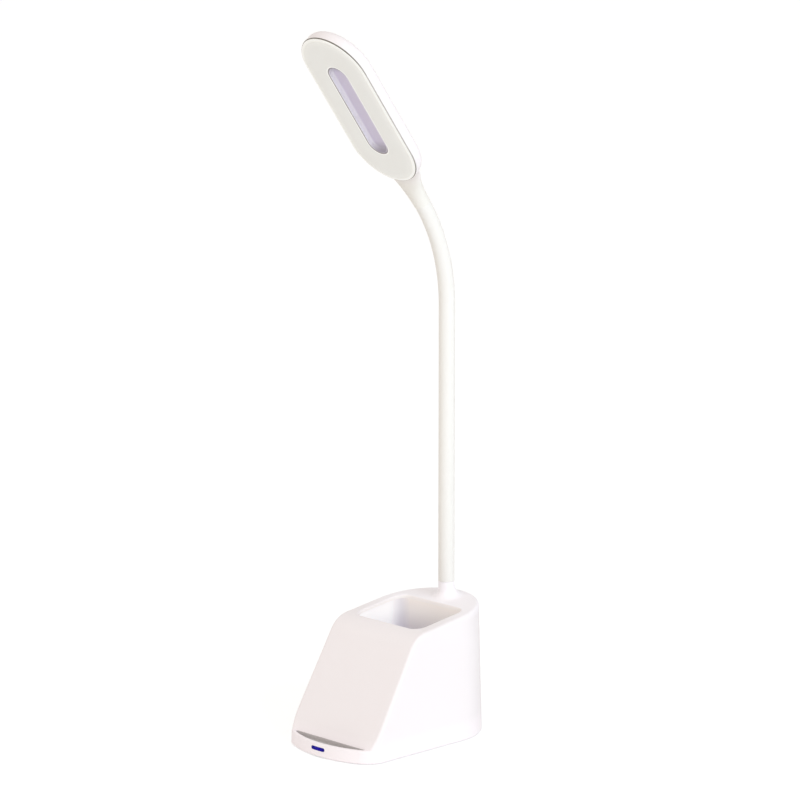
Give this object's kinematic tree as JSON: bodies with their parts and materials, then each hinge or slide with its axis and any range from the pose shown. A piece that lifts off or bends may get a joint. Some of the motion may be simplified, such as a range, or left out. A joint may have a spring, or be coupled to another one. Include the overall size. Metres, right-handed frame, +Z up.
{
  "type": "desk lamp with pen cup base",
  "caption": "Rechargeable desk lamp: a bendable neck carries a slim round-ended light over a base with a pen cup and a sloping telephone rest.",
  "frame": {"origin": "on the desk, in the middle of the base's footprint", "axes": "+Z up; the sloping telephone rest and the lit face look towards -Y; +X is the lamp's width"},
  "size_m": [0.0756, 0.1254, 0.4399],
  "materials": {
    "shell_white": "warm white moulded plastic, fine satin texture",
    "cup_white": "warm white moulded plastic, smooth satin",
    "cover_white": "white moulded plastic",
    "mat_grey": "soft foamed mat",
    "pad_grey": "soft matt liner",
    "sleeve_white": "matt silicone",
    "steel": "bright zinc plate",
    "hose_steel": "wound steel hose",
    "brass": "turned brass",
    "copper": "copper foil",
    "cell_wrap": null,
    "board": "fibreglass circuit board with solder mask",
    "led_board_white": "metal-backed board with white mask",
    "chip_black": "moulded chips and plugs",
    "led_yellow": "phosphor over the LED",
    "blue_lens": "clear lens, blue light behind",
    "opal": "milky light-spreading plastic",
    "lead_jacket": "thin insulated wire"
  },
  "bodies": {
    "base": {"base_shell": "shell_white", "pen_cup": "cup_white", "bottom_cover": "cover_white", "cover_screws": "steel", "grip_mat": "mat_grey", "ballast_plate": "steel", "battery_cell": "cell_wrap", "battery_tabs": "steel", "usb_board": "board", "usb_socket": "steel", "usb_screws": "steel", "control_board": "board", "board_screws": "steel", "board_parts": "chip_black", "touch_board": "board", "touch_pad": "copper", "status_led": "led_yellow", "indicator_lens": "blue_lens", "groove_pad": "pad_grey", "neck_bush": "brass", "neck_washer": "steel", "neck_nut": "steel", "neck_tail_lead": "lead_jacket", "usb_lead": "lead_jacket", "battery_leads": "lead_jacket", "touch_lead": "lead_jacket", "hose_base": "hose_steel", "sleeve_1": "sleeve_white", "lead_1": "lead_jacket"},
    "neck_1": {"hose_1": "hose_steel", "sleeve_2": "sleeve_white", "lead_2": "lead_jacket"},
    "neck_2": {"hose_2": "hose_steel", "sleeve_3": "sleeve_white", "lead_3": "lead_jacket"},
    "neck_3": {"hose_3": "hose_steel", "sleeve_4": "sleeve_white", "lead_4": "lead_jacket"},
    "neck_4": {"hose_4": "hose_steel", "sleeve_5": "sleeve_white", "lead_5": "lead_jacket"},
    "neck_5": {"hose_5": "hose_steel", "sleeve_6": "sleeve_white", "lead_6": "lead_jacket"},
    "neck_6": {"hose_6": "hose_steel", "sleeve_7": "sleeve_white", "lead_7": "lead_jacket"},
    "neck_7": {"hose_7": "hose_steel", "sleeve_8": "sleeve_white", "lead_8": "lead_jacket"},
    "head": {"head_housing": "shell_white", "head_frame": "shell_white", "diffuser": "opal", "centre_tray": "cup_white", "led_board": "led_board_white", "leds": "led_yellow", "head_screws": "steel", "head_ferrule": "brass", "head_lead": "lead_jacket", "hose_head": "hose_steel"}
  },
  "joints": [
    {"name": "bend_1_sideways", "type": "hinge", "parent": "base", "child": "neck_1", "pos_m": [0, 0.047, 0.10617], "axis": [0, 1, 0], "range_deg": [-29, 29], "deforming": ["sleeve_1", "lead_1"]},
    {"name": "bend_2_forwards", "type": "hinge", "parent": "neck_1", "child": "neck_2", "pos_m": [0, 0.047, 0.13656], "axis": [1, 0, 0], "range_deg": [-29, 29], "deforming": ["sleeve_2", "lead_2"]},
    {"name": "bend_3_sideways", "type": "hinge", "parent": "neck_2", "child": "neck_3", "pos_m": [0, 0.047, 0.16695], "axis": [0, 1, 0], "range_deg": [-29, 29], "deforming": ["sleeve_3", "lead_3"]},
    {"name": "bend_4_forwards", "type": "hinge", "parent": "neck_3", "child": "neck_4", "pos_m": [0, 0.047, 0.19734], "axis": [1, 0, 0], "range_deg": [-29, 29], "deforming": ["sleeve_4", "lead_4"]},
    {"name": "bend_5_sideways", "type": "hinge", "parent": "neck_4", "child": "neck_5", "pos_m": [0, 0.047, 0.22773], "axis": [0, 1, 0], "range_deg": [-29, 29], "deforming": ["sleeve_5", "lead_5"]},
    {"name": "bend_6_forwards", "type": "hinge", "parent": "neck_5", "child": "neck_6", "pos_m": [0, 0.047, 0.25811], "axis": [1, 0, 0], "range_deg": [-33.8, 24.2], "deforming": ["sleeve_6", "lead_6"]},
    {"name": "bend_7_sideways", "type": "hinge", "parent": "neck_6", "child": "neck_7", "pos_m": [0, 0.04431, 0.2883], "axis": [0, 0.9757, 0.2192], "range_deg": [-29, 29], "deforming": ["sleeve_7", "lead_7"]},
    {"name": "bend_8_forwards", "type": "hinge", "parent": "neck_7", "child": "head", "pos_m": [0, 0.03368, 0.31667], "axis": [1, 0, 0], "range_deg": [-44.8, 13.3], "deforming": ["sleeve_8", "lead_8"]}
  ]
}
